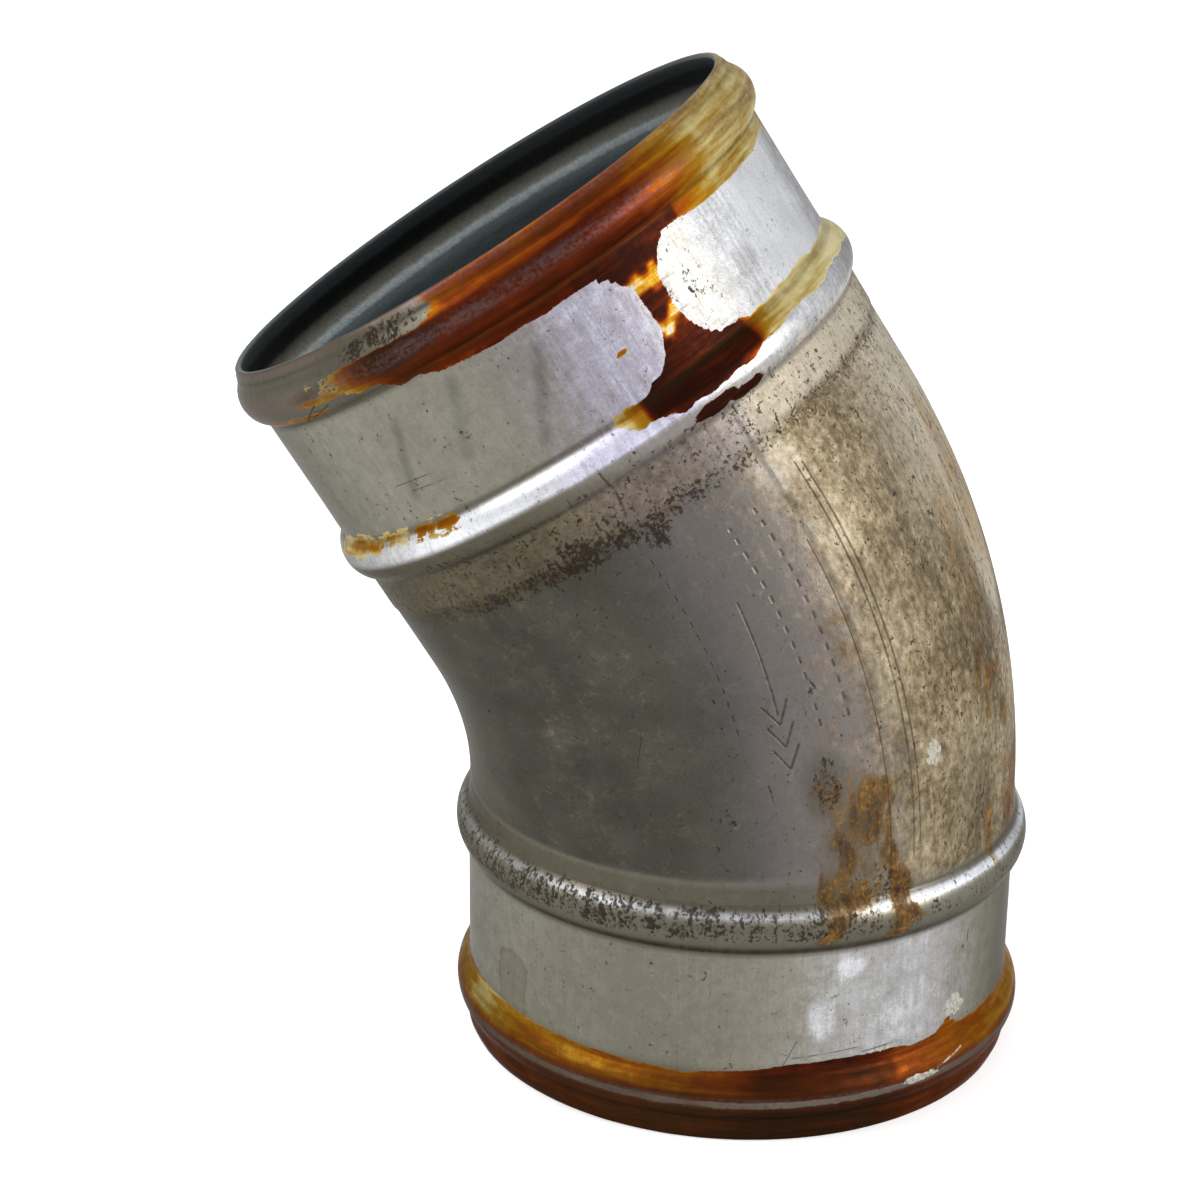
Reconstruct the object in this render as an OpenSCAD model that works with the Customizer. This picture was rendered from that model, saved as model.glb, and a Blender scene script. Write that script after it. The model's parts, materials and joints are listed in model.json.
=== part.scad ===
// Thin-wall steel pipe elbow with two rolled beads at each end.
// It stands on its lower rim: Z = 0 is the floor, the Z axis is the centre
// line of the lower end, and the pipe bends towards -X.

/* [Pipe] */
// Outside diameter of the straight ends
pipe_od = 127; // [100:1:160]
// Wall thickness
wall = 1.65; // [1.2:0.05:2.4]

/* [Bend] */
// Angle between the two ends
bend_angle = 33; // [15:1:60]
// Radius of the bend at the pipe's centre line
bend_radius = 119; // [100:1:200]
// Lower rim to the start of the bend
lower_straight = 61.5; // [61.5:0.5:120]
// End of the bend to the upper rim
upper_straight = 79.5; // [61.5:0.5:120]
// How far the bent stretch lies below the surface of the straight ends
bend_step = 0.3; // [0.2:0.1:1]

/* [Ends] */
// How far the lip at each rim lies below the surface of the straight ends
lip_step = 0.5; // [0.1:0.1:3]
// Lower rim to the middle of its end bead
lower_lip = 10.8; // [8:0.2:12]
// Upper rim to the middle of its end bead
upper_lip = 8; // [8:0.2:12]
// Middle of an end bead to the middle of the inner bead
bead_spacing = 41; // [30:0.5:41]

/* [Beads] */
// Height of a bead above the pipe
bead_height = 2.9; // [2:0.1:4]
// Radius of a bead's crest
bead_radius = 6.5; // [5:0.1:7]

/* [Hidden] */
$fn = 96;
pipe_r = pipe_od / 2;
lip_r = pipe_r - lip_step;
bend_r = pipe_r - bend_step;
// Length of the taper that steps a straight end down into the bend
taper = 20 * bend_step;
// A cut runs this far past a rim to open it cleanly
through = 1;
steel = [0.62, 0.61, 0.57];

// Half section of a straight end, rim at zero, filled from the centre line
// out to `skin` below its surface.
module end_profile(length, lip, skin) {
    past_rim = skin > 0 ? through : 0;
    translate([0, -past_rim])
        square([lip_r - skin, lip + past_rim]);
    translate([0, lip])
        square([pipe_r - skin, length - lip]);
    polygon([
        [0, length],
        [pipe_r - skin, length],
        [pipe_r - skin - 2 * bend_step, length + taper],
        [0, length + taper]
    ]);
    for (at = [lip, lip + bead_spacing])
        translate([pipe_r + bead_height - bead_radius, at])
            circle(r = bead_radius - skin);
}

module straight_end(length, lip, skin) {
    rotate_extrude()
        end_profile(length, lip, skin);
}

module bend(skin) {
    translate([-bend_radius, 0, 0])
        rotate([90, 0, 0])
            rotate_extrude(angle = bend_angle)
                translate([bend_radius, 0])
                    circle(r = bend_r - skin);
}

// Moves children from the lower end of the bend to its upper end.
module past_bend() {
    translate([-bend_radius, 0, 0])
        rotate([0, -bend_angle, 0])
            translate([bend_radius, 0, 0])
                children();
}

// The whole elbow as a filled bar, `skin` below its outer surface.
module bar(skin) {
    straight_end(lower_straight, lower_lip, skin);
    translate([0, 0, lower_straight]) {
        bend(skin);
        past_bend()
            translate([0, 0, upper_straight])
                mirror([0, 0, 1])
                    straight_end(upper_straight, upper_lip, skin);
    }
}

module pipe_elbow() {
    color(steel)
        difference() {
            bar(0);
            bar(wall);
        }
}

pipe_elbow();
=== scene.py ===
import json
import math
from types import SimpleNamespace

import bpy
import numpy as np
from mathutils import Matrix, Vector


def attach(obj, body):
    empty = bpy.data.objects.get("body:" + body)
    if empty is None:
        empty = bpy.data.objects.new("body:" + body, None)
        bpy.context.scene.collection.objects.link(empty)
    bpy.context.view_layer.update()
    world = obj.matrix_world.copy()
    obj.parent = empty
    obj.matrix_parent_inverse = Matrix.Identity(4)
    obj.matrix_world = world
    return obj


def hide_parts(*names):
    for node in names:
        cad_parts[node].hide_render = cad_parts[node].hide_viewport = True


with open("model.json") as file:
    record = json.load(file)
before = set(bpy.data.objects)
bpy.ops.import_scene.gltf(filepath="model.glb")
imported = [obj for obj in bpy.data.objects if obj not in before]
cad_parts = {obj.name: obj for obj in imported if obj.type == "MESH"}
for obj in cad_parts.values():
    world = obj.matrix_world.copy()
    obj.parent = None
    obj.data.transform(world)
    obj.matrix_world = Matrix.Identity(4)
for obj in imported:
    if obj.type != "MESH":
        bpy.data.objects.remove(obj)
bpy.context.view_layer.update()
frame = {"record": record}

# A place on the pipe is an angle round it, in degrees, and a run along its centre line from the
# lower rim. Angle 0 is the outer side of the bend (+X) and 270 is the front (-Y). Lengths are in
# mm, apart from those of the lamps, the floor and the camera's clipping, which are in metres.
MM = 0.001
BODY = "root"
NODE = "pipe_elbow"

# ---------------------------------------------------------------- sizes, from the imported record

MOUNTS = {mount["name"]: mount for mount in frame["record"]["mounts"]}
RIM_RADIUS = MOUNTS["lower_lip"]["dims"]["r_mm"]
WALL = RIM_RADIUS - MOUNTS["lower_mouth"]["dims"]["r_mm"]
MOUTH = Vector(MOUNTS["upper_mouth"]["pos_m"]) / MM
MOUTH_AXIS = MOUNTS["upper_mouth"]["axis"]

LOWER_STRAIGHT = 61.5
UPPER_STRAIGHT = 79.5
BEND = math.atan2(-MOUTH_AXIS[0], MOUTH_AXIS[2])
BEND_RADIUS = (-MOUTH.x - UPPER_STRAIGHT * math.sin(BEND)) / (1 - math.cos(BEND))
LENGTH = LOWER_STRAIGHT + BEND_RADIUS * BEND + UPPER_STRAIGHT

PIPE_RADIUS = RIM_RADIUS + 0.5
BEND_STEP = 0.3
LIP_SWELL = 1.1
LIP_TUCK = 0.4
LIP_ROUND = 3.2

BEAD_RADIUS = 6.5
BEAD_HEIGHT = 2.9
BEAD_BLEND = 0.7
BEAD_SPACING = 41.0
LOWER_LIP = 10.8
UPPER_LIP = 8.0
LOW_END, LOW_INNER = LOWER_LIP, LOWER_LIP + BEAD_SPACING
TOP_END, TOP_INNER = LENGTH - UPPER_LIP, LENGTH - UPPER_LIP - BEAD_SPACING
BEADS = [LOW_END, LOW_INNER, TOP_INNER, TOP_END]
CREASES = [LOW_INNER + 10, TOP_INNER - 15.5]
SEAM = 304.5

# ---------------------------------------------------------------- spacing of the mesh

OUTSIDE_STEPS = (0.75, 1.15)
INSIDE_STEPS = (1.5, 5.0)
RIM_ANGLES = (36, 72, 108, 144)
SEAM_STEP = 0.5
OTHER_COLUMNS = 318
# share of the bake map's height that the outside takes
OUTER_SHARE = 0.8

# ---------------------------------------------------------------- smooth steps and noise


def smooth(x):
    """0 to 1 with a gentle start and end."""
    x = np.clip(x, 0, 1)
    return x * x * (3 - 2 * x)


def rise(x, at, width):
    """0 below `at` and 1 above it, through a soft edge of that width."""
    return smooth((x - at) / width + 0.5)


def within(x, low, high, width):
    """1 between low and high and 0 outside them, through soft edges of that width."""
    return rise(x, low, width) * (1 - rise(x, high, width))


def ridge(x, at, width):
    """1 at a place, fading away on both sides of it."""
    return np.exp(-(((x - at) / width) ** 2))


def turn(angle, centre):
    """Signed degrees from a centre, the short way round."""
    return (angle - centre + 180) % 360 - 180


def soft_max(a, b, blend):
    """The larger of two values, with the corner between them rounded."""
    share = np.clip(0.5 + 0.5 * (a - b) / blend, 0, 1)
    return b + (a - b) * share + blend * share * (1 - share)


class Clouds:
    """Seeded smooth noise from -1 to 1 that can be read at any point."""

    def __init__(self, seed, cells=32):
        self.cells = cells
        self.grid = np.random.default_rng(seed).uniform(-1, 1, (cells, cells, cells))

    def at(self, points, size):
        scaled = points / size
        low = np.floor(scaled).astype(int)
        part = smooth(scaled - low)
        total = 0
        for corner in np.ndindex(2, 2, 2):
            index = (low + corner) % self.cells
            weight = np.prod(np.where(corner, part, 1 - part), axis=-1)
            total = total + weight * self.grid[index[..., 0], index[..., 1], index[..., 2]]
        return total


# ---------------------------------------------------------------- shape of the wall


def outer_radius(run):
    """Outside radius of the clean pipe at each run."""
    from_end = np.minimum(run, LENGTH - run)
    radius = PIPE_RADIUS - BEND_STEP * within(run, *CREASES, 2.0)
    end_bead = np.where(run < LENGTH / 2, LOWER_LIP, UPPER_LIP)
    tuck = (LIP_SWELL + LIP_TUCK) * np.clip(1 - from_end / LIP_ROUND, 0, 1) ** 2
    radius = np.where(from_end < end_bead, RIM_RADIUS + LIP_SWELL - tuck, radius)
    for bead in BEADS:
        half = np.clip(BEAD_RADIUS**2 - (run - bead) ** 2, 0, None)
        crest = PIPE_RADIUS + BEAD_HEIGHT - BEAD_RADIUS + np.sqrt(half)
        radius = soft_max(crest, radius, BEAD_BLEND)
    return radius


def spread_runs(low, high, fine, coarse):
    """Runs from low to high, close together on the beads and wider elsewhere."""
    runs = [low]
    while runs[-1] < high:
        near = min(abs(runs[-1] - bead) for bead in BEADS)
        runs.append(runs[-1] + (fine if near < BEAD_RADIUS + 1 else coarse))
    runs = np.array(runs)
    return low + (runs - low) * (high - low) / (runs[-1] - low)


def centre_line(run):
    """Centre of the pipe and the unit vector towards its outer side at each run."""
    swing = np.clip((run - LOWER_STRAIGHT) / BEND_RADIUS, 0, BEND)
    past = np.clip(run - LOWER_STRAIGHT - BEND_RADIUS * BEND, 0, None)
    before = np.minimum(run, LOWER_STRAIGHT)
    zero = np.zeros_like(run)
    centre = np.stack(
        [
            -BEND_RADIUS * (1 - np.cos(swing)) - past * np.sin(swing),
            zero,
            before + BEND_RADIUS * np.sin(swing) + past * np.cos(swing),
        ],
        -1,
    )
    outward = np.stack([np.cos(swing), zero, np.sin(swing)], -1)
    return centre, outward


def wall_section():
    """Run, radius and inside share of every ring: up the outside, over the rim, down the inside
    and round the lower rim."""
    half = WALL / 2
    outside = spread_runs(half, LENGTH - half, *OUTSIDE_STEPS)
    inside = spread_runs(half, LENGTH - half, *INSIDE_STEPS)[::-1]
    over_rim = np.radians(RIM_ANGLES)
    rings = [(run, outer_radius(run), 0.0) for run in outside]
    middle = outer_radius(outside[-1]) - half
    for step in over_rim:
        run = LENGTH - half + half * math.sin(step)
        rings.append((run, middle + half * math.cos(step), step / math.pi))
    rings += [(run, outer_radius(run) - WALL, 1.0) for run in inside]
    middle = outer_radius(outside[0]) - half
    for step in over_rim:
        run = half - half * math.sin(step)
        rings.append((run, middle - half * math.cos(step), 1 - step / math.pi))
    return np.array(rings, float).T


def spread_angles():
    """Angles round the pipe, closer together near the weld seam."""
    near_seam = np.arange(SEAM - 6, SEAM + 7, SEAM_STEP)
    rest = np.linspace(SEAM + 7, SEAM + 354, OTHER_COLUMNS, endpoint=False)
    return np.sort(np.concatenate([near_seam, rest]) % 360)


# ---------------------------------------------------------------- where the pipe is worn and stained, and where light and shade are painted


def unrolled(angle, run):
    """Points on a straight pipe, where noise has the same size everywhere."""
    around = np.radians(angle)
    return np.stack([PIPE_RADIUS * np.cos(around), PIPE_RADIUS * np.sin(around), run], -1)


def wander(angle, run, degrees, length, size, seed):
    """The same places pushed about by noise, so that patches lose their oval outline."""
    points = unrolled(angle, run)
    aside = degrees * Clouds(seed).at(points, size)
    along = length * Clouds(seed + 1).at(points, size)
    return angle + aside, run + along


def spots(angle, run, patches):
    """Highest of several soft oval patches: (angle, run, half degrees, half mm, level)."""
    top = np.zeros_like(angle)
    for centre, middle, wide, high, level in patches:
        away = np.hypot(turn(angle, centre) / wide, (run - middle) / high)
        top = np.maximum(top, level * smooth(1.5 * (1 - away)))
    return top


def level_round(angle, pairs):
    """A level that follows angles round the pipe, given as (angle, level) pairs."""
    angles, levels = zip(*pairs)
    return np.interp(angle, angles, levels, period=360)


def upper_ring(angle, run, grow):
    """Varnish from the upper band to the rim, deepest at the front."""
    foot = level_round(angle, [
        (190, 196), (236, 201), (241, 199.5), (245, 197.5), (249, 198.2), (253, 195), (257, 195.6),
        (263, 193.4), (298, 192.8), (312, 192.8), (325, 191.5), (20, 193),
    ])
    depth = level_round(angle, [
        (15, 0.3), (45, 0.4), (70, 0.85), (95, 0.7), (120, 0.4), (160, 0.2), (225, 0.3), (243, 0.42),
        (254, 0.74), (264, 0.78), (298, 0.82), (308, 0.72), (318, 0.5), (328, 0.3), (345, 0.25),
        (352, 0.25),
    ])
    reach = level_round(angle, [
        (20, 1), (130, 1), (150, 0), (222, 0), (236, 0.46), (244, 0.66), (252, 1), (345, 1),
    ])
    above_crest = rise(run, TOP_END + 3.0, 2.0)
    bare_lip = level_round(angle, [(160, 1), (262, 1), (270, 0), (60, 0)])
    thinning = level_round(angle, [(262, 0.2), (285, 0.26), (318, 0.12), (350, 0.0)])
    mask = rise(run, foot - grow, 1.4) * reach * (1 - above_crest * bare_lip)
    charred = 0.3 * spots(angle, run, [(254, 202.5, 16, 4, 1.0)])
    return mask, depth * (1 - above_crest * thinning) + charred


def neck(angle, run, grow):
    """Varnish that crosses the upper band, pinched at the middle and broken twice."""
    moved = wander(angle, run, 0, 2.6, 3.0, seed=21)[1]
    from_waist = np.clip((np.abs(run - 180.5) - 1.5) / 11.0, 0, 1)
    half_width = 2.9 + 9.0 * (1 - np.sqrt(1 - from_waist**2))
    aside = np.radians(turn(angle, 302.6)) * PIPE_RADIUS
    mask = (1 - rise(np.abs(aside), half_width + grow, 1.4)) * within(run, 162.0, 196, 1.5)
    breaks = within(moved, 176.0, 179.0, 1.6) + within(moved, 184.5, 188.5, 1.6)
    return mask * (1 - 0.42 * breaks), 0.92 * (1 - 0.5 * breaks)


def bead_runs(angle, run, grow):
    """Varnish held along the upper side of the upper inner bead."""
    angle, run = wander(angle, run, 1.6, 0.9, 3.0, seed=35)
    foot = level_round(angle, [(286, 163.2), (292, 160.9), (312, 160.6), (318, 162.4), (360, 162.4)])
    mask = rise(run, foot - grow, 1.2) * (1 - rise(run, 167.4 + grow, 1.2))
    reach = level_round(angle, [
        (25, 1), (120, 0), (198, 0), (204, 0.8), (214, 0.6), (246, 0.42), (256, 0.2), (284, 0.4), (289, 1),
    ])
    depth = level_round(angle, [
        (25, 0.2), (204, 0.3), (286, 0.34), (290, 0.5), (294, 0.92), (309, 0.92), (313, 0.6),
        (318, 0.34), (326, 0.22), (350, 0.14), (5, 0.14),
    ])
    return mask * reach, depth


def lower_ring(angle, run, grow):
    """Varnish above the crest of the lower end bead."""
    top = level_round(angle, [
        (180, 18), (215, 18.2), (262, 16.8), (275, 18.0), (284, 19.3), (303, 19.4), (310, 18.2),
        (316, 18.6), (320, 21.5), (324, 18.6), (345, 18.5), (20, 18),
    ])
    depth = level_round(angle, [
        (15, 0.3), (60, 0.75), (100, 0.5), (150, 0.3), (185, 0.36), (196, 0.46), (205, 0.3),
        (225, 0.44), (262, 0.54), (272, 0.64), (277, 0.84), (301, 0.86), (306, 0.62), (326, 0.5),
        (340, 0.42), (350, 0.4),
    ])
    return within(run, 11.4 - grow, top + grow, 1.4), depth


def lower_lip_coat(angle, run, grow):
    """Dark varnish under the crest of the lower end bead."""
    depth = level_round(angle, [
        (15, 0.6), (60, 0.85), (120, 0.75), (190, 0.6), (262, 0.86), (280, 0.94), (300, 0.9),
        (312, 0.68), (345, 0.66),
    ])
    return 1 - rise(run, 10.0 + grow, 3.0), depth


def drips(angle, run, grow):
    """Small separate drops of varnish."""
    wide = 1 + 0.3 * grow
    angle, run = wander(angle, run, 1.2, 0.6, 2.5, seed=27)
    return spots(angle, run, [
        (219, 165, 9 * wide, 1.2 * wide, 0.8),
        (222, 197.6, 24 * wide, 1.2 * wide, 0.85),
        (237, 200.2, 14 * wide, 1.0 * wide, 0.8),
        (237.5, 165.2, 3.0 * wide, 1.5 * wide, 1),
        (245, 165.3, 3.4 * wide, 1.4 * wide, 1),
        (291, 177, 1.8 * wide, 1.1 * wide, 1),
        (301, 157.4, 8.0 * wide, 2.6 * wide, 1),
        (308, 156.4, 6.5 * wide, 2.2 * wide, 1),
    ]), np.where(turn(angle, 296) > 0, 0.95, 0.46)


# each gives where its varnish lies, spread wider by `grow`, and how deep it is
VARNISH = [upper_ring, neck, bead_runs, lower_ring, lower_lip_coat, drips]


def coat_field(angle, run):
    """Where varnish lies."""
    return np.maximum.reduce([layer(angle, run, 0.0)[0] for layer in VARNISH])


def stain_field(angle, run):
    """Thickness of the varnish: pale gold when thin, amber, then maroon. It carries on a little past
    the edges, so that it doesn't fade there."""
    layers = [layer(angle, run, 2.5) for layer in VARNISH]
    return np.maximum.reduce([mask**0.3 * depth for mask, depth in layers])


def rust_field(angle, run):
    """Powdery orange rust in streaks and patches."""
    angle, run = wander(angle, run, 3.2, 6.0, 6.0, seed=31)
    return spots(angle, run, [
        (295, 70, 13, 28, 0.34),
        (289.5, 82, 6.0, 10, 0.34),
        (297.5, 74, 5.0, 10, 0.8),
        (292, 68, 3.5, 12, 0.7),
        (289, 60, 3.5, 9, 0.7),
        (294, 57, 6.0, 6, 0.85),
        (303.8, 58, 3.4, 9, 1.0),
        (303, 68, 2.0, 9, 0.7),
        (291.5, 53.5, 6.0, 4, 0.95),
        (305, 53.0, 4.5, 3.5, 0.9),
        (300, 108, 5.0, 12, 0.3),
        (338, 82, 9.0, 5, 0.7),
        (333, 89, 5.0, 3, 0.6),
        (347, 66, 9.0, 8, 0.7),
        (333, 60, 3.0, 7, 0.7),
        (352, 112, 14, 24, 0.36),
        (338, 104, 10, 22, 0.32),
        (12, 96, 12, 26, 0.42),
        (8, 70, 8, 10, 0.6),
        (22, 112, 5, 9, 0.6),
        (40, 60, 8, 14, 0.9),
        (95, 70, 6, 16, 0.8),
        (120, 150, 10, 8, 0.7),
        (165, 58, 8, 6, 0.6),
        (204, 165, 8, 2.5, 0.4),
    ])


def film_and_shade_field(angle, run):
    """Dark coat of the bent stretch, deepest on the back, the inner side and the front left and lightest on
    the right: partly tarnished metal, partly painted shade that stands in for dark surroundings reflected in
    the metal.
    """
    along = rise(run, CREASES[0] + 1, 2.5) * (1 - rise(run, CREASES[1] + 1.5, 6.0))
    return along * level_round(angle, [
        (10, 0.4), (60, 0.8), (130, 1.0), (170, 0.75), (205, 0.5), (222, 0.76), (240, 1.0), (262, 0.9),
        (274, 0.68), (284, 0.42), (298, 0.34), (303, 0.24), (312, 0.24), (345, 0.1),
    ])


def scale_field(angle, run):
    """Mottled beige and brown scale over the outer side and beside the upper bead."""
    outer_side = within(run, LOW_INNER + 7, TOP_INNER - 5, 4.0) * level_round(angle, [
        (30, 0.7), (70, 0.1), (280, 0.0), (297, 0.3), (307, 0.7), (320, 0.95), (10, 1.0),
    ])
    shoulder = within(run, CREASES[1] - 1, TOP_INNER - 3, 8.0) * level_round(
        angle, [(200, 0.5), (262, 0.5), (290, 0.55), (320, 0.6), (350, 0.7)]
    )
    return np.maximum(outer_side, shoulder)


def speck_field(angle, run):
    """How thick the dark specks lie."""
    crease = within(run, CREASES[1] - 3.5, CREASES[1] + 3, 4.0) * level_round(angle, [
        (20, 0.7), (205, 0.7), (235, 0.85), (262, 1.1), (280, 1.05), (292, 0.9), (320, 0.85), (350, 0.95),
    ])
    above = 0.68 * within(run, CREASES[1], TOP_INNER - 1.5, 4.0)
    bead = within(run, LOW_INNER - 2.0, LOW_INNER + 5.6, 2.0) * level_round(angle, [
        (20, 0.7), (110, 0.8), (205, 0.9), (225, 1.0), (262, 1.0), (280, 0.85), (300, 0.85), (312, 0.7),
        (335, 0.7),
    ])
    outer_side = 0.72 * scale_field(angle, run)
    marks = spots(angle, run, [
        (254, 206.5, 17, 4.2, 1.05),
        (250, 202, 14, 3, 0.85),
        (232, 197, 7, 4, 0.7),
        (226, 192, 14, 3, 0.6),
        (238, 157, 16, 2.2, 0.8),
        (303, 182, 7, 12, 0.66),
        (312, 180, 7, 8, 0.7),
        (263, 146, 8, 7, 1.2),
        (279, 142, 5, 7, 1.1),
        (303, 148, 6, 12, 0.9),
        (290, 82, 6, 9, 0.85),
        (300, 58, 14, 14, 0.8),
    ])
    return np.maximum.reduce([crease, above, bead, outer_side, marks, 0.45 * np.ones_like(run)])


def tone_and_highlight_field(angle, run):
    """How light the metal is painted, from dull at 0 upward: painted highlights on the bands, on the crests
    of the inner beads and above the upper crease, and painted reflection of light surroundings on the right
    of the bend. The seam is a little lighter.
    """
    # painted highlight and reflection on the upper band, strongest at the right front
    upper_band = within(run, TOP_INNER + 4, TOP_END - 6, 3.0) * level_round(angle, [
        (20, 0.3), (60, 0.2), (120, 0.35), (180, 0.1), (207, 0.1), (222, 0.26), (262, 0.18), (276, 0.28),
        (288, 0.62), (303, 0.46), (314, 0.46), (322, 0.68), (334, 1.15), (345, 1.0), (356, 0.8),
    ])
    # painted highlight on the lower band at the front right
    lower_band = within(run, LOW_END + 5, LOW_INNER - 5, 3.0) * level_round(angle, [
        (20, 0.25), (120, 0.3), (208, 0.3), (232, 0.1), (250, 0.0), (270, 0.08), (284, 0.32), (292, 0.5),
        (312, 0.58), (322, 0.42), (332, 0.2), (342, 0.0), (350, 0.0),
    ])
    # painted highlight along the crest of the upper inner bead
    crest_foot = TOP_INNER - level_round(angle, [(262, 0), (300, 1), (320, 3), (0, 3)])
    crest = rise(run, crest_foot, 1.6) * (1 - rise(run, TOP_INNER + 5, 1.6)) * level_round(angle, [
        (30, 0.5), (180, 0.3), (215, 0.6), (245, 0.98), (285, 0.9), (300, 0.72), (335, 0.75), (350, 0.6),
    ])
    # painted highlight along the crest of the lower inner bead
    low_crest = within(run, LOW_INNER + 3.0, LOW_INNER + 5.0, 1.2) * level_round(angle, [
        (30, 0.5), (200, 0.4), (225, 0.5), (262, 0.66), (285, 0.75), (300, 0.9), (312, 1.15), (340, 1.15),
    ])
    # painted highlight between the upper crease and the upper inner bead, on the right
    shoulder = within(run, CREASES[1], TOP_INNER - 1, 6.0) * level_round(
        angle, [(20, 0.4), (60, 0.1), (270, 0.1), (290, 0.3), (303, 0.5), (318, 0.68), (345, 0.85)]
    )
    # painted reflection of light surroundings on the right of the bend
    below = rise(run, 100, 40) * (1 - rise(run, CREASES[1] + 1, 6)) * level_round(
        angle, [(298, 0.0), (306, 0.0), (322, 0.34), (345, 0.75), (0, 0.7), (200, 0.0)]
    )
    seam = within(turn(angle, SEAM), -1.4, 1.6, 0.8) * within(run, LOW_INNER + 8, TOP_INNER - 6, 6.0)
    # painted highlight patches on the lower band, and painted reflection on the right of the bend
    marks = spots(angle, run, [
        (289, 29.5, 5.5, 10.0, 0.72),
        (294.5, 41.5, 6.5, 5.2, 0.75),
        (306, 27, 10.5, 13.0, 0.62),
        (306, 140, 8, 12, 0.45),
        (350, 108, 14, 30, 0.75),
    ])
    return np.maximum.reduce([upper_band, lower_band, crest, low_crest, shoulder, below, 0.12 * seam, marks])


def chip_field(angle, run):
    """Pale chips and scrapes."""
    return spots(angle, run, [
        (322, 23.8, 4.4, 4.2, 1.0),
        (314.5, 80.5, 3.0, 3.2, 1.0),
        (302.0, 19.9, 4.4, 1.1, 0.85),
        (310.5, 11.2, 6.5, 1.3, 1.0),
        (70, 100, 3.0, 4.0, 1.0),
        (150, 30, 3.0, 2.5, 0.9),
    ])


def worn_field(angle, run):
    """Crests of the end beads rubbed back to a dull violet-grey."""
    top = within(run, TOP_END - 1.2, TOP_END + 1.8, 2.2)
    low = within(run, LOW_END - 1.0, LOW_END + 1.0, 1.4)
    rim = 1.2 * rise(run, LENGTH - 1.4, 0.8)
    return np.maximum.reduce([top, low, rim])


def grime_and_shade_field(angle, run):
    """Dirt and painted shade: painted shade along the feet of the beads, on the lower side of the lower
    inner bead and at the right edge of the lower band; darkening along the creases, above the upper crease,
    between the lower inner bead and the lower crease, and over the lower end bead; dirt patches and dirt by
    the upper rim.
    """
    # painted shade along the feet of the beads
    feet = sum(ridge(run, bead + side * 5.6, 0.7) for bead in BEADS[1:] for side in (-1, 1))
    creases = sum(ridge(run, crease, 0.8) for crease in CREASES)
    creases = creases * level_round(angle, [(20, 0.3), (200, 1.0), (285, 1.0), (300, 0.2), (350, 0.2)])
    bead_side = TOP_INNER - level_round(angle, [(200, 0), (262, 0), (280, 2), (310, 5)])
    shoulder = rise(run, CREASES[1] - 1, 3.0) * (1 - rise(run, bead_side, 2.0)) * level_round(angle, [
        (20, 0.3), (120, 0.6), (200, 0.68), (255, 0.72), (275, 0.42), (295, 0.18), (305, 0.14), (0, 0.1),
    ])
    # painted shade on the lower side of the lower inner bead
    under_low = within(run, LOW_INNER - 5.5, LOW_INNER + 2.0, 2.0) * level_round(
        angle, [(20, 0.4), (300, 0.42), (314, 0.18), (345, 0.18)]
    )
    collar = within(run, LOW_INNER + 4.5, CREASES[0] + 0.5, 1.2) * level_round(
        angle, [(20, 0.3), (200, 0.62), (280, 0.62), (300, 0.15), (0, 0.2)]
    )
    low_bead = (1 - rise(run, 17, 5)) * level_round(
        angle, [(20, 0.5), (190, 0.85), (262, 0.9), (280, 0.5), (330, 0.6)]
    )
    # painted shade at the right edge of the lower band, standing in for dark surroundings reflected there
    right = 0.5 * within(run, 15, 49, 6.0) * within(turn(angle, 0), -18, 12, 26)
    patch = spots(angle, run, [
        (325, 177, 3.6, 3.8, 0.3),
        (289.5, 82, 6.5, 9, 0.42),
        (292, 70, 5, 9, 0.2),
        (326, 70, 12, 18, 0.35),
        (345, 58, 12, 8, 0.4),
        (335, 96, 8, 16, 0.2),
        (240, 202, 20, 3.5, 0.85),
    ])
    rim = rise(run, 196, 3) * level_round(angle, [
        (180, 0.5), (205, 0.4), (235, 0.42), (245, 0.6), (258, 0.55), (270, 0.1), (300, 0.0), (20, 0.1),
    ])
    lying = [0.75 * feet, 0.5 * creases, shoulder, under_low, collar, low_bead, right, patch, rim]
    return np.clip(np.maximum.reduce(lying), 0, 1)


def violet_reflection_field(angle, run):
    """Violet tint painted on the metal at the front, above the lower crease: a painted reflection standing
    in for the tint of the light there.
    """
    return within(turn(angle, 286), -16, 16, 16) * rise(run, CREASES[0], 8.0)


def tide_field(angle, run):
    """Distance in mm to the edge of the dried water mark, negative inside."""
    aside = np.abs(np.radians(turn(angle, 218.5)) * PIPE_RADIUS) - 5.2
    above = run - 32.0
    corner = 4.0
    outside = np.hypot(np.maximum(aside + corner, 0), np.maximum(above + corner, 0)) - corner
    distance = outside + np.minimum(np.maximum(aside + corner, above + corner), 0)
    return np.where(run < 12, 8.0, distance)


FIELDS = {
    "coat": coat_field,
    "stain": stain_field,
    "rust": rust_field,
    "film_and_shade": film_and_shade_field,
    "scale": scale_field,
    "specks": speck_field,
    "tone_and_highlight": tone_and_highlight_field,
    "chips": chip_field,
    "worn": worn_field,
    "grime_and_shade": grime_and_shade_field,
    "violet": violet_reflection_field,
    "tide": tide_field,
}

# ---------------------------------------------------------------- the elbow's mesh


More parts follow.
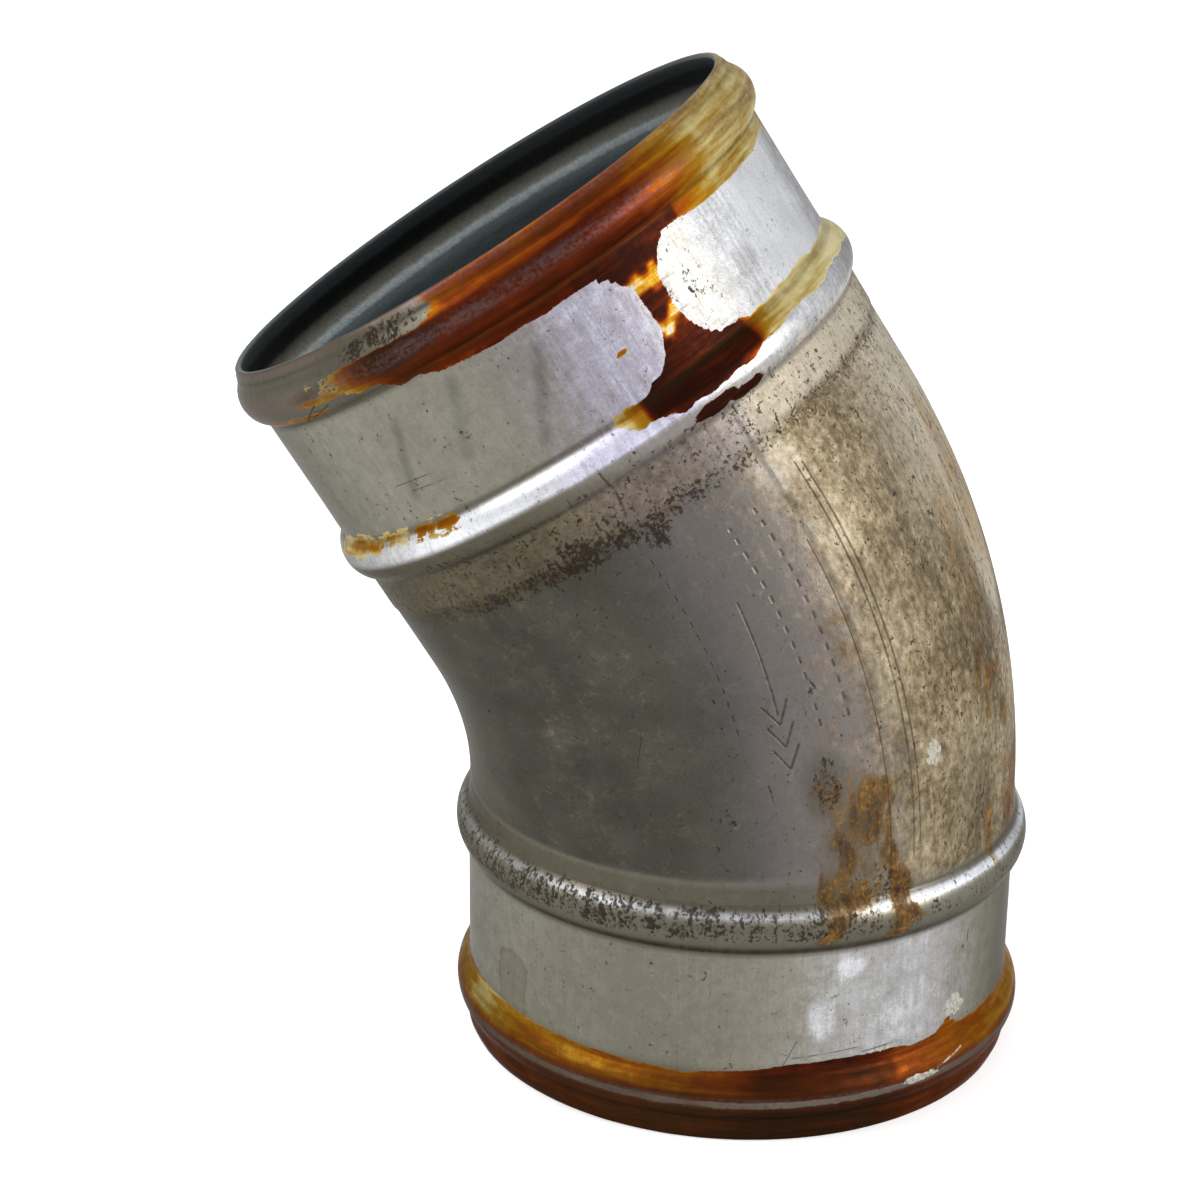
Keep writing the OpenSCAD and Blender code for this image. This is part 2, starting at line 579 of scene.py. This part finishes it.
def relief(angle, run, straight, fields):
    """How far the worn wall stands out from the clean one."""
    clouds = Clouds(seed=7)
    waves = 0.10 * clouds.at(straight, 26.0) + 0.035 * clouds.at(straight, 7.0)
    seam = within(turn(angle, SEAM), -1.2, 2.0, 0.7) * within(run, LOW_INNER + 8, TOP_INNER - 6, 5.0)
    creases = -0.16 * ridge(run, CREASES[1], 0.8) - 0.10 * ridge(run, CREASES[0], 0.8)
    crust = 0.10 * fields["rust"] * (1 + clouds.at(straight, 1.6))
    varnish = 0.05 * fields["stain"] * (1 + clouds.at(straight, 2.4))
    pits = -0.10 * np.clip(clouds.at(straight, 2.0) * fields["specks"] - 0.3, 0, 1)
    nicks = -0.45 * spots(angle, run, [
        (258, LENGTH, 5, 1.6, 0.8), (264, LENGTH, 3, 1.4, 1.0), (244, LENGTH, 2.5, 1.2, 0.6),
        (100, LENGTH, 4, 1.5, 0.9), (30, 0, 4, 1.5, 0.8), (320, LENGTH, 2, 1.0, 0.5),
    ])
    rough = spots(angle, run, [(303, 147, 16, 16, 1.0), (262, 147, 30, 5, 0.7)])
    rough = 0.09 * clouds.at(straight, 1.8) * rough
    return waves + 0.22 * seam + creases + crust + varnish + pits + nicks + rough


def add_field(mesh, name, values):
    field = mesh.attributes.new(name, "FLOAT", "POINT")
    field.data.foreach_set("value", values.astype(np.float32).ravel())


def add_vectors(mesh, name, domain, values):
    field = mesh.attributes.new(name, "FLOAT_VECTOR", domain)
    field.data.foreach_set("vector", values.astype(np.float32).ravel())


def build_elbow():
    run, radius, inside = wall_section()
    turns = spread_angles()
    rows, columns = len(run), len(turns)
    angle, along = np.meshgrid(turns, run)
    inner = np.broadcast_to(inside[:, None], angle.shape)
    around = np.radians(angle)
    straight = unrolled(angle, along)
    fields = {name: field(angle, along) for name, field in FIELDS.items()}

    centre, outward = centre_line(run)
    sideways = np.array([0.0, 1.0, 0.0])
    ray = np.cos(around)[..., None] * outward[:, None, :] + np.sin(around)[..., None] * sideways
    reach = radius[:, None] + relief(angle, along, straight, fields) * (1 - inner)
    points = (centre[:, None, :] + reach[..., None] * ray) * MM
    points[..., 2] = np.maximum(points[..., 2], 0)

    row, column = np.meshgrid(np.arange(rows), np.arange(columns), indexing="ij")
    next_row, next_column = (row + 1) % rows, (column + 1) % columns
    corners = [(row, column), (row, next_column), (next_row, next_column), (next_row, column)]
    faces = np.stack([r * columns + c for r, c in corners], -1).reshape(-1, 4)
    mesh = bpy.data.meshes.new("elbow")
    mesh.from_pydata(points.reshape(-1, 3).tolist(), [], faces.tolist())
    mesh.shade_smooth()

    for name, values in fields.items():
        add_field(mesh, name, values)
    add_field(mesh, "inside", inner)
    add_vectors(mesh, "straight", "POINT", straight)

    # corners past the last column carry on past 360 degrees
    corner_turn = np.stack([np.where(c < column, turns[c] + 360, turns[c]) for r, c in corners], -1)
    corner_run = np.stack([run[r] for r, c in corners], -1)
    layout = np.stack([np.radians(corner_turn) * PIPE_RADIUS, corner_run, np.zeros_like(corner_run)], -1)
    add_vectors(mesh, "layout", "CORNER", layout)

    ring_place = np.where(inside == 0, run / LENGTH * OUTER_SHARE, 0)
    past_rim = np.flatnonzero(inside > 0)
    past_share = (past_rim - past_rim[0] + 1) / (len(past_rim) + 1)
    ring_place[past_rim] = OUTER_SHARE + (1 - OUTER_SHARE) * past_share
    corner_v = np.stack([np.where(r < row, 1.0, ring_place[r]) for r, c in corners], -1)
    corner_u = (corner_turn - turns[0]) / 360
    bake_map = mesh.uv_layers.new(name="OFBake")
    bake_map.uv.foreach_set("vector", np.stack([corner_u, corner_v], -1).astype(np.float32).ravel())

    piece = bpy.data.objects.new("elbow", mesh)
    bpy.context.scene.collection.objects.link(piece)
    print("elbow triangles", 2 * len(faces))
    return piece


# ---------------------------------------------------------------- shader building


def srgb(*values):
    """A colour written as it shows on screen, 0 to 255, as the linear colour a shader takes."""
    scaled = [v / 255 for v in values]
    linear = [v / 12.92 if v <= 0.04045 else ((v + 0.055) / 1.055) ** 2.4 for v in scaled]
    return (*linear, 1.0)


class Graph:
    """Short calls that add shader nodes and link them."""

    def __init__(self, tree):
        self.tree = tree

    def feed(self, socket, value):
        if isinstance(value, bpy.types.NodeSocket):
            self.tree.links.new(value, socket)
        else:
            socket.default_value = value

    def add(self, kind, inputs, **settings):
        node = self.tree.nodes.new("ShaderNode" + kind)
        for name, value in settings.items():
            setattr(node, name, value)
        for key, value in inputs.items():
            self.feed(node.inputs[key], value)
        return node

    def math(self, operation, *values):
        return self.add("Math", dict(enumerate(values)), operation=operation).outputs[0]

    def plus(self, a, b):
        return self.math("ADD", a, b)

    def times(self, a, b):
        return self.math("MULTIPLY", a, b)

    def most(self, *values):
        top = values[0]
        for value in values[1:]:
            top = self.math("MAXIMUM", top, value)
        return top

    def field(self, name):
        return self.add("Attribute", {}, attribute_name=name).outputs["Fac"]

    def vector(self, name):
        return self.add("Attribute", {}, attribute_name=name).outputs["Vector"]

    def stretch(self, vector, scale):
        return self.add("VectorMath", {0: vector, 1: scale}, operation="MULTIPLY").outputs[0]

    def noise(self, vector, size, detail=2.0, roughness=0.5, distortion=0.0):
        """Noise from about 0.2 to 0.8 with features of that size in mm."""
        inputs = {
            "Vector": vector,
            "Scale": 1 / size,
            "Detail": detail,
            "Roughness": roughness,
            "Distortion": distortion,
        }
        return self.add("TexNoise", inputs).outputs["Fac"]

    def step(self, value, at, width):
        """0 below `at` and 1 above it, through a soft edge of that width."""
        inputs = {"Value": value, "From Min": at - width / 2, "From Max": at + width / 2}
        return self.add("MapRange", inputs, interpolation_type="SMOOTHSTEP").outputs[0]

    def spread(self, value, low, high, to_low, to_high):
        """A value carried from one range to another and held at its ends."""
        inputs = {0: value, 1: low, 2: high, 3: to_low, 4: to_high}
        return self.add("MapRange", inputs).outputs[0]

    def frayed(self, name, noise, amount):
        """A field moved up and down by noise, so that its edges fray."""
        return self.plus(self.field(name), self.spread(noise, 0.3, 0.7, -amount, amount))

    def blend(self, share, a, b, kind="MIX"):
        """Colour a with b laid over it."""
        node = self.add("Mix", {0: share}, data_type="RGBA", blend_type=kind)
        self.feed(node.inputs[6], a)
        self.feed(node.inputs[7], b)
        return node.outputs[2]

    def number(self, share, a, b):
        """Number a with b laid over it."""
        return self.add("Mix", {0: share, 2: a, 3: b}).outputs[0]

    def ramp(self, value, stops):
        """Colour that follows a value, given as (place, colour) pairs."""
        node = self.add("ValToRGB", {0: value})
        marks = node.color_ramp.elements
        while len(marks) < len(stops):
            marks.new(0.5)
        for mark, (place, colour) in zip(marks, stops):
            mark.position = place
            mark.color = colour
        return node.outputs["Color"]


def stroke_group():
    """Mask of a straight scratch in the layout, 1 on its line."""
    tree = bpy.data.node_groups.new("stroke", "ShaderNodeTree")
    for name, kind in (("Place", "Vector"), ("Start", "Vector"), ("End", "Vector"), ("Width", "Float")):
        tree.interface.new_socket(name, in_out="INPUT", socket_type="NodeSocket" + kind)
    tree.interface.new_socket("Mask", in_out="OUTPUT", socket_type="NodeSocketFloat")
    source = tree.nodes.new("NodeGroupInput").outputs
    sink = tree.nodes.new("NodeGroupOutput").inputs
    g = Graph(tree)

    def vectors(operation, *values):
        return g.add("VectorMath", dict(enumerate(values)), operation=operation)

    reach = vectors("SUBTRACT", source["Place"], source["Start"]).outputs[0]
    line = vectors("SUBTRACT", source["End"], source["Start"]).outputs[0]
    ahead = vectors("DOT_PRODUCT", reach, line).outputs["Value"]
    whole = vectors("DOT_PRODUCT", line, line).outputs["Value"]
    share = g.add("Math", {0: ahead, 1: whole}, operation="DIVIDE", use_clamp=True).outputs[0]
    scaled = g.add("VectorMath", {0: line, "Scale": share}, operation="SCALE").outputs[0]
    away = vectors("DISTANCE", reach, scaled).outputs["Value"]
    inputs = {"Value": away, "From Min": source["Width"], "From Max": 0.0}
    g.feed(sink["Mask"], g.add("MapRange", inputs, interpolation_type="SMOOTHSTEP").outputs[0])
    return tree


STROKE = stroke_group()


def strokes(g, place, lines):
    """Mask of several scratches: (angle, run, angle, run, half width)."""
    masks = []
    for a0, s0, a1, s1, width in lines:
        start = (math.radians(a0) * PIPE_RADIUS, s0, 0)
        end = (math.radians(a1) * PIPE_RADIUS, s1, 0)
        node = g.add("Group", {}, node_tree=STROKE)
        for name, value in (("Place", place), ("Start", start), ("End", end), ("Width", width)):
            g.feed(node.inputs[name], value)
        masks.append(node.outputs["Mask"])
    return g.most(*masks)


DARK_SCRATCHES = [
    (276.2, 160.5, 276.6, 153.5, 0.5),
    (276.6, 153.5, 275.8, 148.0, 0.6),
    (283, 20.6, 297, 21.4, 0.25),
    (281, 18.5, 284, 25, 0.2),
    (298, 20.0, 306, 20.6, 0.3),
    (226, 196.0, 234, 199.5, 0.3),
    (229, 196.5, 237, 198.5, 0.25),
    (238, 176.2, 247, 176.0, 0.2),
    (241, 174.0, 252, 173.4, 0.2),
    (325.5, 38, 325.8, 41, 0.35),
    (338, 88, 338.5, 99, 0.3),
    (254, 93, 257, 101, 0.2),
    (279.5, 78, 278.7, 84, 0.4),
    (220.0, 112.6, 220.8, 113.4, 0.7),
]
PALE_SCRATCHES = [
    (315, 12.0, 319, 13.0, 0.35),
    (317, 12.4, 322.5, 13.8, 0.3),
    (341, 167, 342, 190, 0.3),
]
SMEARS = [
    (256.5, 176, 262.0, 191, 2.6),
    (271.0, 171, 279.0, 188, 2.4),
    (241.0, 173, 247.0, 189, 2.2),
]
SEAM_LINES = [
    (308.2, 64, 308.6, 137, 0.3),
    (309.8, 66, 310.1, 136, 0.3),
    (302.6, 64, 302.4, 124, 0.18),
]
CHEVRON_STEP = 4.6
CHEVRON_RUNS = (86.5, 100.3)
CHEVRON = [(283.4 + side * 2.6, CHEVRON_STEP, 283.4, 0, 0.5) for side in (-1, 1)]
ARROW_SHAFT = [(284.6, 121, 283.5, 98, 0.5)]
TICK_LINES = [
    (275.2, 96, 275.0, 139, 0.4),
    (291.0, 92, 290.6, 134, 0.6),
    (297.0, 92, 296.6, 135, 0.6),
]
TICK_STEP = 3.1


def scribed_marks(g, layout):
    """Plain flow arrow of a shaft and three chevrons, with three rows of short ticks."""
    around, run, _ = g.add("SeparateXYZ", {0: layout}).outputs
    from_first = g.math("SUBTRACT", run, CHEVRON_RUNS[0])
    in_step = g.math("FLOORED_MODULO", from_first, CHEVRON_STEP)
    folded = g.add("CombineXYZ", {0: around, 1: in_step}).outputs[0]
    in_row = g.times(g.step(run, CHEVRON_RUNS[0], 0.2), g.math("LESS_THAN", run, CHEVRON_RUNS[1]))
    chevrons = g.times(strokes(g, folded, CHEVRON), in_row)
    dash = g.math("LESS_THAN", g.math("FLOORED_MODULO", run, TICK_STEP), 0.45 * TICK_STEP)
    ticks = g.times(strokes(g, layout, TICK_LINES), dash)
    return g.most(chevrons, ticks, strokes(g, layout, ARROW_SHAFT))


# ---------------------------------------------------------------- layers of the steel's surface

# Each layer takes the material's graph g and the shared noises n. A layer that lies on another
# also takes the colour under it.
RUST_TINT = (0.74, 0.56, 0.28, 1.0)
# tint of the painted violet reflection at the front
VIOLET_REFLECTION = (1.03, 0.99, 1.16, 1.0)
INSIDE_LIGHTENING = (2.0, 2.0, 1.95, 1.0)


def shared_noise(g):
    """Places on the pipe, and the noises that several layers share."""
    place = g.vector("straight")
    fine = g.noise(place, 0.9, 3.0, 0.6)
    medium = g.noise(place, 3.2, 3.0, 0.6)
    return SimpleNamespace(
        place=place,
        layout=g.vector("layout"),
        grain=g.noise(place, 0.4, 2.0, 0.7),
        fine=fine,
        medium=medium,
        broad=g.noise(place, 14.0, 2.0, 0.5),
        ragged=g.plus(g.times(medium, 0.6), g.times(fine, 0.4)),
        brushed=g.noise(g.stretch(place, (1.0, 1.0, 0.06)), 0.8, 2.0, 0.6),
        streaks=g.noise(g.stretch(place, (1.0, 1.0, 0.22)), 1.5, 3.0, 0.65),
        smear=g.noise(g.stretch(place, (0.1, 0.1, 1.0)), 1.3, 3.0, 0.55),
    )


def steel_and_highlights(g, n):
    """Metal from dull to light, lighter where highlights and reflections are painted, and how light it is.
    """
    tone_and_highlight = g.plus(g.field("tone_and_highlight"), g.spread(n.ragged, 0.25, 0.75, -0.2, 0.2))
    tone_and_highlight = g.plus(tone_and_highlight, g.spread(n.brushed, 0.3, 0.7, -0.06, 0.06))
    # the lightest stops carry the painted highlights and reflections
    colour = g.ramp(tone_and_highlight, [
        (0.0, srgb(108, 105, 94)),
        (0.3, srgb(130, 127, 116)),
        (0.6, srgb(166, 166, 168)),
        (0.95, srgb(224, 226, 231)),
    ])
    colour = g.blend(g.spread(n.broad, 0.35, 0.65, 0.0, 0.22), colour, srgb(98, 94, 80))
    colour = g.blend(g.spread(n.grain, 0.35, 0.65, 0.22, 0.0), colour, srgb(90, 88, 84))
    return colour, tone_and_highlight


def water_mark(g, n, colour):
    """A dried water mark, darkest along its edge."""
    tide = g.frayed("tide", n.medium, 0.9)
    wet = g.math("SUBTRACT", 1.0, g.step(tide, 0.0, 1.2))
    line = g.math("SUBTRACT", 1.0, g.step(g.math("ABSOLUTE", tide), 0.5, 0.7))
    share = g.plus(g.times(wet, 0.22), g.times(line, 0.3))
    return g.blend(share, colour, srgb(84, 80, 62))


def tarnish_and_shade(g, n, colour):
    """Dark coat on the bend, partly tarnished metal and partly painted shade, and where it lies."""
    film_and_shade = g.step(g.frayed("film_and_shade", n.ragged, 0.16), 0.5, 1.0)
    small = g.plus(g.plus(n.medium, n.fine), n.grain)
    dark = g.ramp(g.plus(g.times(n.broad, 0.4), g.times(small, 0.2)), [
        (0.36, srgb(44, 44, 39)),
        (0.5, srgb(60, 59, 53)),
        (0.64, srgb(78, 75, 67)),
    ])
    return g.blend(g.times(film_and_shade, 0.93), colour, dark), film_and_shade


def mottled_scale(g, n, colour, tone_and_highlight):
    """Beige and brown scale, and where it lies."""
    cells = g.noise(n.place, 2.0, 4.0, 0.7)
    large = g.plus(g.times(n.broad, 0.3), g.times(n.streaks, 0.2))
    mottle = g.ramp(g.plus(g.times(cells, 0.5), large), [
        (0.38, srgb(66, 53, 33)),
        (0.46, srgb(102, 86, 60)),
        (0.54, srgb(138, 123, 97)),
        (0.64, srgb(178, 165, 137)),
    ])
    # scale painted paler where the highlights are painted
    mottle = g.blend(g.step(tone_and_highlight, 0.65, 0.6), mottle, srgb(188, 178, 156))
    share = g.step(g.frayed("scale", n.ragged, 0.35), 0.5, 0.9)
    return g.blend(g.times(share, 0.85), colour, mottle), share


def dark_specks(g, n, colour):
    """Ragged dark specks, and where they are."""
    spatter = g.noise(n.place, 0.8, 2.0, 0.7)
    blots = g.noise(n.place, 2.0, 3.0, 0.65, 1.2)
    gathered = g.plus(g.times(g.plus(spatter, blots), 0.68), g.times(n.streaks, 0.51))
    cut = g.math("SUBTRACT", 1.305, g.times(g.field("specks"), 0.36))
    specks = g.step(g.math("SUBTRACT", gathered, cut), 0.0, 0.16)
    return g.blend(g.times(specks, 0.85), colour, srgb(38, 27, 16)), specks


def powdery_rust(g, n, colour):
    """Rust with a stain round it, and where it lies."""
    tint = g.step(g.frayed("rust", n.medium, 0.12), 0.32, 0.4)
    colour = g.blend(g.times(tint, 0.75), colour, RUST_TINT, "MULTIPLY")
    scabs = g.plus(g.times(n.streaks, 0.5), g.times(n.fine, 0.5))
    rust = g.plus(g.field("rust"), g.spread(scabs, 0.35, 0.65, -0.4, 0.4))
    share = g.step(rust, 0.58, 0.56)
    powder = g.ramp(g.plus(g.times(n.fine, 0.5), g.times(n.medium, 0.5)), [
        (0.41, srgb(44, 31, 20)),
        (0.49, srgb(78, 54, 26)),
        (0.56, srgb(114, 78, 32)),
        (0.65, srgb(146, 110, 56)),
    ])
    return g.blend(g.times(share, 0.8), colour, powder), share


def varnish(g, n, colour, grime_and_shade):
    """Varnish from pale gold through amber to maroon, and where it lies."""
    torn = g.plus(g.times(n.ragged, 0.6), g.times(n.smear, 0.4))
    edge = g.plus(g.field("coat"), g.spread(torn, 0.35, 0.65, -0.24, 0.24))
    cover = g.step(edge, 0.5, 0.1)
    uneven = g.plus(g.times(n.smear, 0.75), g.times(n.medium, 0.25))
    thickness = g.plus(g.field("stain"), g.spread(uneven, 0.35, 0.65, -0.09, 0.09))
    thickness = g.plus(thickness, g.times(g.step(edge, 0.68, 0.3), 0.06))
    coat = g.ramp(thickness, [
        (0.14, srgb(216, 206, 162)),
        (0.3, srgb(180, 162, 104)),
        (0.42, srgb(146, 108, 24)),
        (0.54, srgb(128, 72, 5)),
        (0.66, srgb(106, 46, 10)),
        (0.8, srgb(74, 25, 6)),
        (1.0, srgb(36, 14, 8)),
    ])
    # the varnish takes the dirt and the painted shade too
    coat = g.blend(g.times(grime_and_shade, 0.62), coat, srgb(44, 36, 16))
    return g.blend(cover, colour, coat), cover


def rubbed_crests(g, n, colour):
    """Dull violet-grey where the end beads and the rim are rubbed."""
    rubbed = g.plus(g.times(n.fine, 0.5), g.times(n.smear, 0.5))
    worn = g.times(g.field("worn"), g.step(rubbed, 0.5, 0.3))
    return g.blend(g.times(worn, 0.5), colour, srgb(106, 82, 80))


def pale_chips(g, n, colour):
    """Pale chips, and where they are."""
    chips = g.plus(g.field("chips"), g.spread(n.ragged, 0.35, 0.65, -0.4, 0.3))
    chips = g.step(chips, 0.5, 0.25)
    pale = g.ramp(n.fine, [(0.4, srgb(150, 146, 132)), (0.55, srgb(184, 182, 170))])
    return g.blend(g.times(chips, 0.85), colour, pale), chips


def scratches_and_marks(g, n, colour):
    """Smears, scratches and scribed marks, and the marks that are cut in."""
    broken = g.step(n.ragged, 0.46, 0.12)
    smears = g.times(strokes(g, n.layout, SMEARS), g.spread(n.broad, 0.35, 0.65, 0.35, 0.6))
    dark_lines = g.times(strokes(g, n.layout, DARK_SCRATCHES), broken)
    pale_lines = g.times(strokes(g, n.layout, PALE_SCRATCHES), broken)
    marked = g.most(g.times(strokes(g, n.layout, SEAM_LINES), 0.8), scribed_marks(g, n.layout))
    cuts = g.most(dark_lines, g.times(marked, g.spread(n.fine, 0.35, 0.6, 0.6, 1.0)))
    colour = g.blend(smears, colour, srgb(80, 78, 72))
    colour = g.blend(g.times(cuts, 0.8), colour, srgb(42, 36, 30))
    colour = g.blend(g.times(pale_lines, 0.6), colour, srgb(200, 198, 188))
    return colour, marked


def inner_wall(g, n):
    """Inside of the pipe, its light and shade painted on: a dark lip, a painted black shadow in the groove
    under it, a lit grey band with a painted highlight line at its foot, and a bluish wall below. It is
    lighter towards the inner side of the bend."""
    across, _, run = g.add("SeparateXYZ", {0: n.place}).outputs
    run = g.plus(g.math("DIVIDE", run, LENGTH), g.spread(n.medium, 0.3, 0.7, -0.0008, 0.0008))
    # the black stops paint the shadow in the groove under the lip, and the pale stop at 0.944 paints a
    # highlight line
    wall = g.ramp(run, [
        (0.0, srgb(70, 70, 66)),
        (0.74, srgb(62, 68, 70)),
        (0.938, srgb(72, 80, 82)),
        (0.944, srgb(160, 168, 172)),
        (0.949, srgb(108, 108, 100)),
        (0.96, srgb(84, 82, 74)),
        (0.965, srgb(12, 12, 12)),
        (0.980, srgb(12, 12, 12)),
        (0.985, srgb(62, 68, 70)),
    ])
    lighter = g.spread(across, -PIPE_RADIUS, 0.0, 1.0, 0.0)
    wall = g.blend(lighter, wall, INSIDE_LIGHTENING, "MULTIPLY")
    dusty = g.plus(g.times(n.fine, 0.5), g.times(n.grain, 0.5))
    return g.blend(g.spread(dusty, 0.35, 0.65, 0.5, 0.0), wall, srgb(50, 52, 52))


def steel_material():
    material = bpy.data.materials.new("worn_steel")
    material.use_nodes = True
    shader = material.node_tree.nodes["Principled BSDF"]
    g = Graph(material.node_tree)
    n = shared_noise(g)

    colour, tone_and_highlight = steel_and_highlights(g, n)
    colour = water_mark(g, n, colour)
    # dark coat on the bend: tarnished metal with painted shade
    colour, film_and_shade = tarnish_and_shade(g, n, colour)
    colour, scale = mottled_scale(g, n, colour, tone_and_highlight)
    # painted violet reflection at the front
    colour = g.blend(g.field("violet"), colour, VIOLET_REFLECTION, "MULTIPLY")
    # dirt with painted shade, laid over the metal
    grime_and_shade = g.times(g.field("grime_and_shade"), g.spread(n.ragged, 0.3, 0.7, 0.65, 1.1))
    colour = g.blend(grime_and_shade, colour, srgb(50, 44, 28))
    colour, specks = dark_specks(g, n, colour)
    colour, rust = powdery_rust(g, n, colour)
    colour, cover = varnish(g, n, colour, grime_and_shade)
    colour = rubbed_crests(g, n, colour)
    colour, chips = pale_chips(g, n, colour)
    colour, marked = scratches_and_marks(g, n, colour)
    inside = g.step(g.field("inside"), 0.5, 0.5)
    g.feed(shader.inputs["Base Color"], g.blend(inside, colour, inner_wall(g, n)))

    crusty = g.most(rust, g.times(scale, 0.5), g.times(specks, 0.8), chips)
    metal = g.math("SUBTRACT", 1.0, g.times(crusty, 0.6))
    metal = g.number(cover, metal, 0.95)
    g.feed(shader.inputs["Metallic"], g.number(inside, metal, 0.15))
    shader.inputs["Specular IOR Level"].default_value = 0.3
    shader.inputs["Specular Tint"].default_value = (0.5, 0.5, 0.5, 1.0)

    rough = g.spread(n.brushed, 0.3, 0.7, 0.34, 0.46)
    rough = g.number(film_and_shade, rough, g.spread(n.fine, 0.3, 0.7, 0.42, 0.54))
    rough = g.number(crusty, rough, 0.7)
    rough = g.number(cover, rough, g.spread(n.ragged, 0.3, 0.7, 0.34, 0.52))
    g.feed(shader.inputs["Roughness"], g.number(inside, rough, 0.5))

    height = g.plus(g.times(n.grain, 0.1), g.times(n.fine, 0.13))
    crust = g.plus(g.times(g.field("scale"), 0.5), g.times(g.field("rust"), 0.6))
    height = g.plus(height, g.times(crust, n.fine))
    height = g.plus(height, g.times(g.times(g.field("stain"), n.smear), 0.9))
    height = g.math("SUBTRACT", height, g.times(marked, 0.9))
    bump = g.add("Bump", {"Strength": 0.7, "Distance": 0.25 * MM, "Height": height})
    g.feed(shader.inputs["Normal"], bump.outputs[0])
    return material


# ---------------------------------------------------------------- camera, floor, world and lamps

AZIMUTH = math.radians(4.19)
ELEVATION = math.radians(20.67)
ROLL = math.radians(0.73)
DISTANCE = 700.0
AIM = Vector((-33.4, -3.2, 103.9))
LENS = 92.0
LAMP_AIM = Vector((0, 0, 0.11))
FLOOR_GLOW = 0.5
WORLD_LIGHT = 0.55
WORLD_SEEN = 1.0


def place_camera():
    flat = math.cos(ELEVATION)
    back = Vector((math.sin(AZIMUTH) * flat, -math.cos(AZIMUTH) * flat, math.sin(ELEVATION)))
    right = Vector((0, 0, 1)).cross(back).normalized()
    frame_axes = Matrix((right, back.cross(right), back)).transposed() @ Matrix.Rotation(ROLL, 3, "Z")
    data = bpy.data.cameras.new("camera")
    data.lens = LENS
    data.sensor_width = 36.0
    data.clip_end = 100
    camera = bpy.data.objects.new("camera", data)
    bpy.context.scene.collection.objects.link(camera)
    camera.matrix_world = Matrix.Translation((AIM + back * DISTANCE) * MM) @ frame_axes.to_4x4()
    bpy.context.scene.camera = camera


def seen_directly(g):
    """1 for rays that show the background itself: camera, glossy and transmission rays."""
    path = g.add("LightPath", {}).outputs
    return g.most(path["Is Camera Ray"], path["Is Glossy Ray"], path["Is Transmission Ray"])


def make_floor():
    bpy.ops.mesh.primitive_plane_add(size=30)
    floor = bpy.context.object
    floor.name = "floor"
    material = bpy.data.materials.new("floor_paint")
    material.use_nodes = True
    g = Graph(material.node_tree)
    shader = material.node_tree.nodes["Principled BSDF"]
    shader.inputs["Base Color"].default_value = (0.92, 0.92, 0.92, 1)
    shader.inputs["Roughness"].default_value = 0.9
    shader.inputs["Specular IOR Level"].default_value = 0.0
    shader.inputs["Emission Color"].default_value = (1, 1, 1, 1)
    g.feed(shader.inputs["Emission Strength"], g.times(seen_directly(g), FLOOR_GLOW))
    floor.data.materials.append(material)


def make_world():
    world = bpy.data.worlds.new("studio")
    bpy.context.scene.world = world
    world.use_nodes = True
    g = Graph(world.node_tree)
    background = world.node_tree.nodes["Background"]
    background.inputs["Color"].default_value = (1, 1, 1, 1)
    strength = g.spread(seen_directly(g), 0.0, 1.0, WORLD_LIGHT, WORLD_SEEN)
    g.feed(background.inputs["Strength"], strength)


def lamp(name, toward, distance, size, power):
    """Soft round lamp at a distance from the middle of the pipe, along a direction, in metres."""
    data = bpy.data.lights.new(name, "AREA")
    data.shape = "DISK"
    data.size = size
    data.energy = power
    lit = bpy.data.objects.new(name, data)
    bpy.context.scene.collection.objects.link(lit)
    way = Vector(toward).normalized()
    lit.location = LAMP_AIM + way * distance
    lit.rotation_euler = way.to_track_quat("Z", "Y").to_euler()


elbow = build_elbow()
elbow.data.materials.append(steel_material())
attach(elbow, BODY)
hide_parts(NODE)

place_camera()
make_floor()
make_world()
lamp("key", (0.88, -0.40, 0.32), distance=1.2, size=0.6, power=8)
lamp("fill", (-0.8, -0.4, 0.6), distance=1.4, size=0.7, power=5.5)
lamp("top", (-0.5, 0.1, 1.0), distance=1.5, size=0.9, power=8)

bpy.context.scene.view_settings.view_transform = "Standard"
